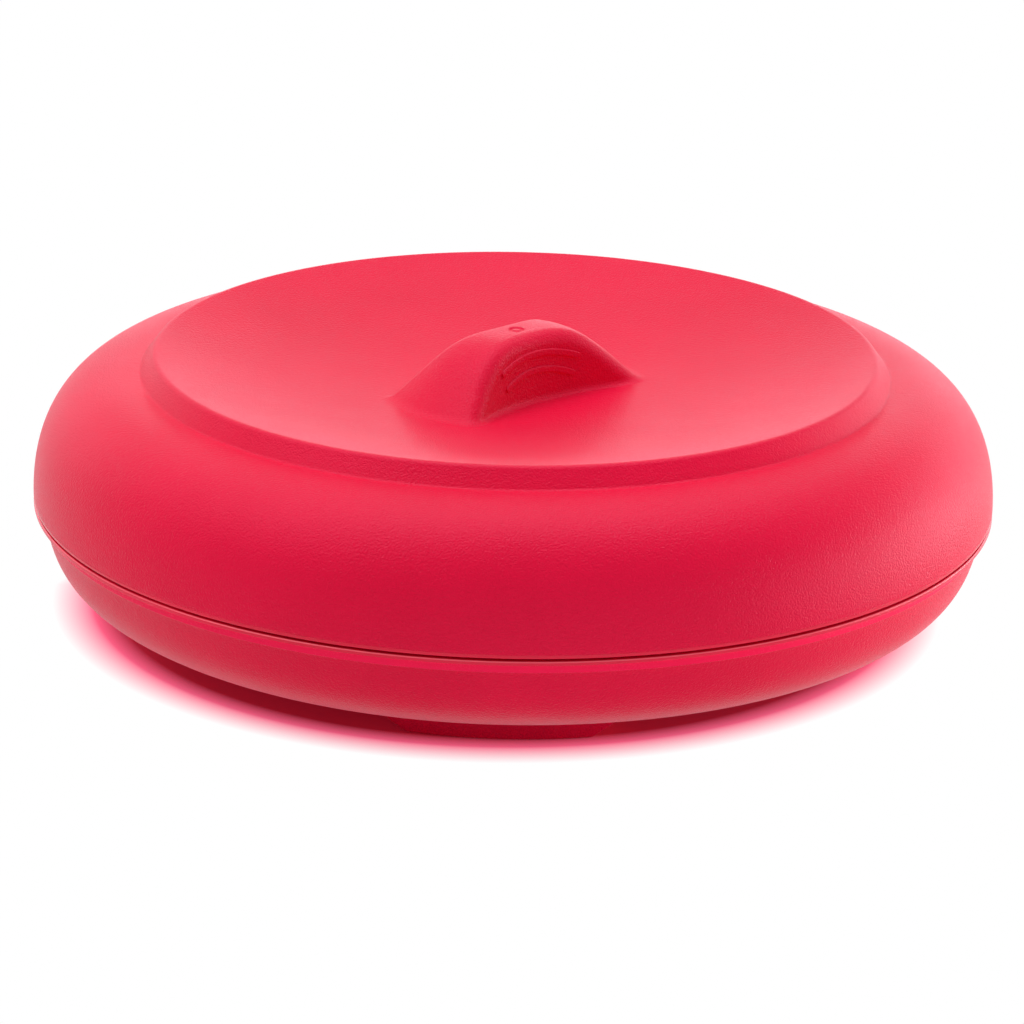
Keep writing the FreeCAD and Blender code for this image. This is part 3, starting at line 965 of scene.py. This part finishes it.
def build_lid_liner(scene):
    """The lid's ceiling, its lip and its rim in one turned wall."""
    seam, base = scene.warmer_seam, scene.warmer_base
    levels = Levels(scene)
    start = levels.lid_rim + seam.liner_wall
    inner_side = levels.skirt_radius - seam.liner_wall
    tip = levels.lid_rim - seam.skirt_drop
    upper = levels.ceiling + seam.liner_wall
    middle = 0.4 * base.liner_flat_radius
    inner = liner_curve(scene, start, inner_side, levels.ceiling, 16)
    outer = liner_curve(scene, start, levels.skirt_radius, upper, 16)
    register = seam.radius - seam.shell_wall - seam.register_clearance
    points = flat_middle(middle, levels.ceiling)
    points += inner[::-1]
    points += [
        Vector((inner_side, tip)),
        Vector((levels.skirt_radius, tip)),
        Vector((levels.skirt_radius, levels.lid_rim)),
        Vector((seam.radius, levels.lid_rim)),
        Vector((seam.radius, levels.lid_shell)),
        Vector((register, levels.lid_shell)),
        Vector((register, start)),
    ]
    points += outer
    points += flat_middle(middle, upper)[::-1]
    points = round_corners(points, (
        (inner_side, tip, seam.lip_round),
        (levels.skirt_radius, tip, seam.lip_round),
        (seam.radius, levels.lid_rim, seam.rim_round),
        (seam.radius, levels.lid_shell, seam.liner_parting_round),
    ), 4)
    piece = turned("lid_liner", points)
    finish_piece(piece, liner_red(), "lid", "red_liner", "lid_inner_liner")


# ---- base
def build_base_shell(scene):
    """The bowl and its flange in one turned wall."""
    base = scene.warmer_base
    levels = Levels(scene)
    wall = scene.warmer_seam.shell_wall
    middle = 0.5 * base.bowl_flat_radius
    flange_top = levels.flange_radius - base.flange_flare
    outer = bowl_curve(scene, 0.0, 40)
    inner = bowl_curve(scene, wall, 16)
    points = flat_middle(middle, levels.bowl)
    points += outer[::-1]
    points += [
        Vector((levels.flange_radius, levels.flange)),
        Vector((flange_top, levels.base_shell_top)),
        Vector((levels.bowl_radius - wall, levels.base_shell_top)),
    ]
    points += inner
    points += flat_middle(middle, levels.bowl + wall)[::-1]
    points = round_corners(points, [(levels.bowl_radius, levels.flange, base.flange_root)], 4)
    points = round_corners(points, [(levels.flange_radius, levels.flange, base.flange_round)], 5)
    piece = turned("base_shell", points)
    finish_piece(piece, shell_red(), "base", "red_shell", "base_outer_shell")


def build_feet(scene):
    """One foot pad bent from a block, rounded, and copied round the axis."""
    foot = scene.warmer_foot
    levels = Levels(scene)
    top = levels.bowl + 0.5 * scene.warmer_seam.shell_wall
    deselect()
    bpy.ops.mesh.primitive_cube_add(size=2.0, location=(0.0, 0.0, 0.0))
    piece = bpy.context.object

    def runs_along(edge):
        first, second = (piece.data.vertices[index].co.x for index in edge.vertices)
        return abs(first - second) > 1.0

    edit(piece, "EDGE")
    pick_edges(piece, runs_along)
    bpy.ops.mesh.subdivide(number_cuts=23)
    bpy.ops.object.mode_set(mode="OBJECT")
    middle_radius = foot.outer_radius - 0.5 * foot.width
    for vertex in piece.data.vertices:
        share = 0.5 * (vertex.co.z + 1.0)
        level = share * top
        half_width = 0.5 * foot.width + level * math.tan(foot.draft)
        half_length = foot.half_length + level / math.tan(foot.end_slope)
        radius = middle_radius + vertex.co.y * half_width
        angle = vertex.co.x * math.asin(half_length / foot.outer_radius)
        vertex.co = Vector((radius * math.sin(angle), -radius * math.cos(angle), level))
    edit(piece, "FACE")
    close_edit()
    bevel = piece.modifiers.new("edges", "BEVEL")
    bevel.width = foot.edge_round
    bevel.segments = 4
    bevel.limit_method = "ANGLE"
    bevel.angle_limit = math.radians(30.0)
    bpy.context.view_layer.objects.active = piece
    bpy.ops.object.modifier_apply(modifier="edges")
    piece = placed_turns(piece, foot.count, foot.turned, "foot_pads")
    finish_piece(piece, shell_red(), "base", "red_shell")


def build_base_liner(scene):
    """The food bowl, the raised ring and the rim in one turned wall."""
    seam, base = scene.warmer_seam, scene.warmer_base
    levels = Levels(scene)
    start = levels.base_rim_top - base.mouth_straight
    underside = levels.base_rim_top - seam.liner_wall
    lower = levels.food_floor - seam.liner_wall
    mouth = seam.mouth_radius
    ring = mouth + base.seat_width
    middle = 0.4 * base.liner_flat_radius
    inner = liner_curve(scene, start, mouth, levels.food_floor, 18)
    outer = liner_curve(scene, start, mouth + seam.liner_wall, lower, 18)
    register = levels.bowl_radius - seam.shell_wall - seam.register_clearance
    points = flat_middle(middle, lower)
    points += outer[::-1]
    points += [
        Vector((mouth + seam.liner_wall, underside)),
        Vector((register, underside)),
        Vector((register, levels.base_shell_top)),
        Vector((seam.radius, levels.base_shell_top)),
        Vector((seam.radius, levels.base_rim_top)),
        Vector((ring, levels.base_rim_top)),
        Vector((ring, levels.seat)),
        Vector((mouth, levels.seat)),
    ]
    points += inner
    points += flat_middle(middle, levels.food_floor)[::-1]
    points = round_corners(points, (
        (mouth, levels.seat, seam.lip_round),
        (ring, levels.seat, seam.ring_round),
        (seam.radius, levels.base_rim_top, seam.rim_round),
        (seam.radius, levels.base_shell_top, seam.ring_round),
    ), 5)
    piece = turned("base_liner", points)
    finish_piece(piece, liner_red(), "base", "red_liner", "base_inner_liner")


# ---- studio
def floor_material(studio):
    """White paper that looks plain white from where the red shadow painted round the base ends. For the
    camera, reflections and clear plastic the shadow, its glow and the red paper under it are painted
    colour and light, while real shadow from the lamps still falls on that paper; other light sees plain
    paper.
    """
    tree = new_tree("studio_floor")
    place = tree.place()
    radius = tree.distance(place, (-studio.shadow_left, studio.shadow_back, 0.0))
    back = tree.along(place, "Y")
    radius = radius + tree.spread(back, studio.shadow_back, studio.shadow_end, 0.0, studio.shadow_cut)
    mottle = tree.noise(place, 30.0, 2.0)
    pale = tree.spread(radius, studio.shadow_dark, studio.shadow_pale)
    white = tree.spread(radius, studio.paper_start, studio.paper_white)
    # painted shadow and glow round the base, shown to the camera, reflections and clear plastic
    shadow = tree.blend(pale, rgba(studio.floor_shadow), rgba(studio.floor_glow))
    paper = tree.blend(white, rgba(studio.painted_shadow_paper), BLACK)
    seen = tree.seen_plainly()
    return tree.surface({
        "Base Color": tree.blend(seen, rgba(studio.floor), paper),
        "Roughness": 0.75 + (mottle - 0.5) * 0.1,
        "Specular IOR Level": 0.0,
        "Emission Color": tree.blend(seen, BLACK, tree.blend(white, shadow, WHITE)),
        "Emission Strength": 1.0,
    })


NEUTRAL = (1.0, 1.0, 1.0)
VIOLET = (1.0, 0.88, 1.0)

# name, place, point that it faces, width and height, tint; in metres
SOFT_BOXES = (
    ("overhead", (0.0, 0.25, 1.4), (0.0, 0.0, 0.05), (1.4, 1.0), NEUTRAL),
    ("rear_right", (1.30, 0.60, 0.40), (0.05, 0.0, 0.04), (0.8, 0.4), VIOLET),
    ("front_left", (-0.75, -0.15, 1.0), (-0.03, -0.03, 0.05), (0.7, 0.7), NEUTRAL),
    ("low_right", (0.45, 0.0, 0.02), (0.10, -0.02, 0.02), (0.5, 0.04), NEUTRAL),
    ("rear_low", (0.75, 1.45, 0.25), (0.0, 0.0, 0.07), (3.0, 0.3), VIOLET),
    ("front_low", (0.35, -1.3, 0.06), (0.02, 0.0, 0.03), (1.6, 0.1), NEUTRAL),
    ("rear_left", (-0.95, 0.95, 0.45), (0.0, 0.0, 0.05), (1.0, 0.6), VIOLET),
)


def soft_box(name, place, aim, size, tint, power):
    """A rectangular area lamp that faces the point aim."""
    lamp = bpy.data.lights.new(name, "AREA")
    lamp.shape = "RECTANGLE"
    lamp.size, lamp.size_y = size
    lamp.energy = power
    lamp.color = tint
    holder = bpy.data.objects.new(name, lamp)
    holder.location = place
    direction = Vector(aim) - Vector(place)
    holder.rotation_euler = direction.to_track_quat("-Z", "Y").to_euler()
    holder.visible_camera = False
    bpy.context.scene.collection.objects.link(holder)


def white_world(strength):
    """Pale room light for the object, plain white behind it."""
    world = bpy.data.worlds.new("studio")
    bpy.context.scene.world = world
    tree = Tree(world)
    level = tree.spread(tree.seen_plainly(), 0.0, 1.0, strength, 1.0)
    light = tree.add("ShaderNodeBackground", {}, {"Color": WHITE, "Strength": level})
    tree.add("ShaderNodeOutputWorld", {}, {"Surface": light})


FRAME_PIXELS = 1024.0
SENSOR_WIDTH = 36.0


def build_camera(scene):
    """A camera that looks almost at the middle of the seam from the front and above."""
    studio = scene.warmer_studio
    levels = Levels(scene)
    middle = Vector((0.0, 0.0, 0.5 * (levels.base_rim_top + levels.lid_rim)))
    ce, se = math.cos(studio.elevation), math.sin(studio.elevation)
    place = middle + Vector((0.0, -ce, se)) * studio.distance
    forward = Vector((0.0, ce, -se))
    right = Vector((1.0, 0.0, 0.0))
    up = Vector((0.0, se, ce))
    c, s = math.cos(studio.roll), math.sin(studio.roll)
    right, up = c * right + s * up, c * up - s * right
    forward = forward * studio.lens_pixels - right * studio.aim_right + up * studio.aim_down
    forward.normalize()
    right = (right - forward * right.dot(forward)).normalized()
    up = right.cross(forward)
    camera = bpy.data.cameras.new("camera")
    camera.sensor_width = SENSOR_WIDTH
    camera.sensor_fit = "HORIZONTAL"
    camera.lens = SENSOR_WIDTH * studio.lens_pixels / FRAME_PIXELS
    camera.clip_start = 0.05
    holder = bpy.data.objects.new("camera", camera)
    rotation = Matrix((right, up, -forward)).transposed().to_4x4()
    holder.matrix_world = Matrix.Translation(place) @ rotation
    scene.collection.objects.link(holder)
    scene.camera = holder


def build_stage(scene):
    """Floor, room light, lamps and camera."""
    studio = scene.warmer_studio
    deselect()
    bpy.ops.mesh.primitive_grid_add(x_subdivisions=8, y_subdivisions=8, size=12.0)
    floor = bpy.context.object
    floor.name = "studio_floor"
    floor.data.materials.append(floor_material(studio))
    white_world(studio.ambient)
    for name, place, aim, size, tint in SOFT_BOXES:
        soft_box(name + "_box", place, aim, size, tint, getattr(studio, name))
    build_camera(scene)
    scene.view_settings.view_transform = "Standard"


# ---- operators
class WarmerStep:
    """What the operators share: each is listed in the redo panel and can be undone"""

    bl_options = {"REGISTER", "UNDO"}


class WARMER_OT_lid_shell(WarmerStep, bpy.types.Operator):
    """Adds the lid's outer shell with its moulded grip"""

    bl_idname = "warmer.lid_shell"
    bl_label = "Lid Shell"

    def execute(self, context):
        build_lid_shell(context.scene)
        return {"FINISHED"}


class WARMER_OT_grip_ribs(WarmerStep, bpy.types.Operator):
    """Adds the raised ribs on the hollow sides of the grip"""

    bl_idname = "warmer.grip_ribs"
    bl_label = "Grip Ribs"

    def execute(self, context):
        build_grip_ribs(context.scene)
        return {"FINISHED"}


class WARMER_OT_lid_liner(WarmerStep, bpy.types.Operator):
    """Adds the lid's inner liner with its rim and lip"""

    bl_idname = "warmer.lid_liner"
    bl_label = "Lid Liner"

    def execute(self, context):
        build_lid_liner(context.scene)
        return {"FINISHED"}


class WARMER_OT_base_shell(WarmerStep, bpy.types.Operator):
    """Adds the base's outer shell with its flange"""

    bl_idname = "warmer.base_shell"
    bl_label = "Base Shell"

    def execute(self, context):
        build_base_shell(context.scene)
        return {"FINISHED"}


class WARMER_OT_feet(WarmerStep, bpy.types.Operator):
    """Adds the foot pads under the base"""

    bl_idname = "warmer.feet"
    bl_label = "Foot Pads"

    def execute(self, context):
        build_feet(context.scene)
        return {"FINISHED"}


class WARMER_OT_base_liner(WarmerStep, bpy.types.Operator):
    """Adds the food bowl of the base with its rim"""

    bl_idname = "warmer.base_liner"
    bl_label = "Base Liner"

    def execute(self, context):
        build_base_liner(context.scene)
        return {"FINISHED"}


class WARMER_OT_foam(WarmerStep, bpy.types.Operator):
    """Gives the foam between the walls its bead pattern"""

    bl_idname = "warmer.foam"
    bl_label = "Foam"

    def execute(self, context):
        foam = material("bead_foam", bead_foam)
        for name in ("base_insulation", "lid_insulation"):
            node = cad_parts[name]
            node.data.materials.clear()
            node.data.materials.append(foam)
        return {"FINISHED"}


class WARMER_OT_stage(WarmerStep, bpy.types.Operator):
    """Adds the floor, the lamps, the pale room and the camera"""

    bl_idname = "warmer.stage"
    bl_label = "Studio"

    def execute(self, context):
        build_stage(context.scene)
        return {"FINISHED"}


STEPS = (
    WARMER_OT_base_shell,
    WARMER_OT_feet,
    WARMER_OT_base_liner,
    WARMER_OT_lid_liner,
    WARMER_OT_lid_shell,
    WARMER_OT_grip_ribs,
    WARMER_OT_foam,
    WARMER_OT_stage,
)


class WARMER_PT_sidebar(bpy.types.Panel):
    """Lists the building steps and all settings"""

    bl_idname = "WARMER_PT_sidebar"
    bl_label = "Tortilla Warmer"
    bl_space_type = "VIEW_3D"
    bl_region_type = "UI"
    bl_category = "Warmer"

    def draw(self, context):
        column = self.layout.column(align=True)
        for step in STEPS:
            column.operator(step.bl_idname)
        for name, group in GROUPS:
            box = self.layout.box()
            box.label(text=group.__doc__)
            for key in group.__annotations__:
                box.prop(getattr(context.scene, name), key)


def register():
    for name, group in GROUPS:
        bpy.utils.register_class(group)
        setattr(bpy.types.Scene, name, bpy.props.PointerProperty(type=group))
    for step in STEPS:
        bpy.utils.register_class(step)
    bpy.utils.register_class(WARMER_PT_sidebar)


def unregister():
    bpy.utils.unregister_class(WARMER_PT_sidebar)
    for step in reversed(STEPS):
        bpy.utils.unregister_class(step)
    for name, group in reversed(GROUPS):
        delattr(bpy.types.Scene, name)
        bpy.utils.unregister_class(group)


def main():
    register()
    for step in STEPS:
        group, name = step.bl_idname.split(".")
        getattr(getattr(bpy.ops, group), name)()


if __name__ == "__main__":
    main()
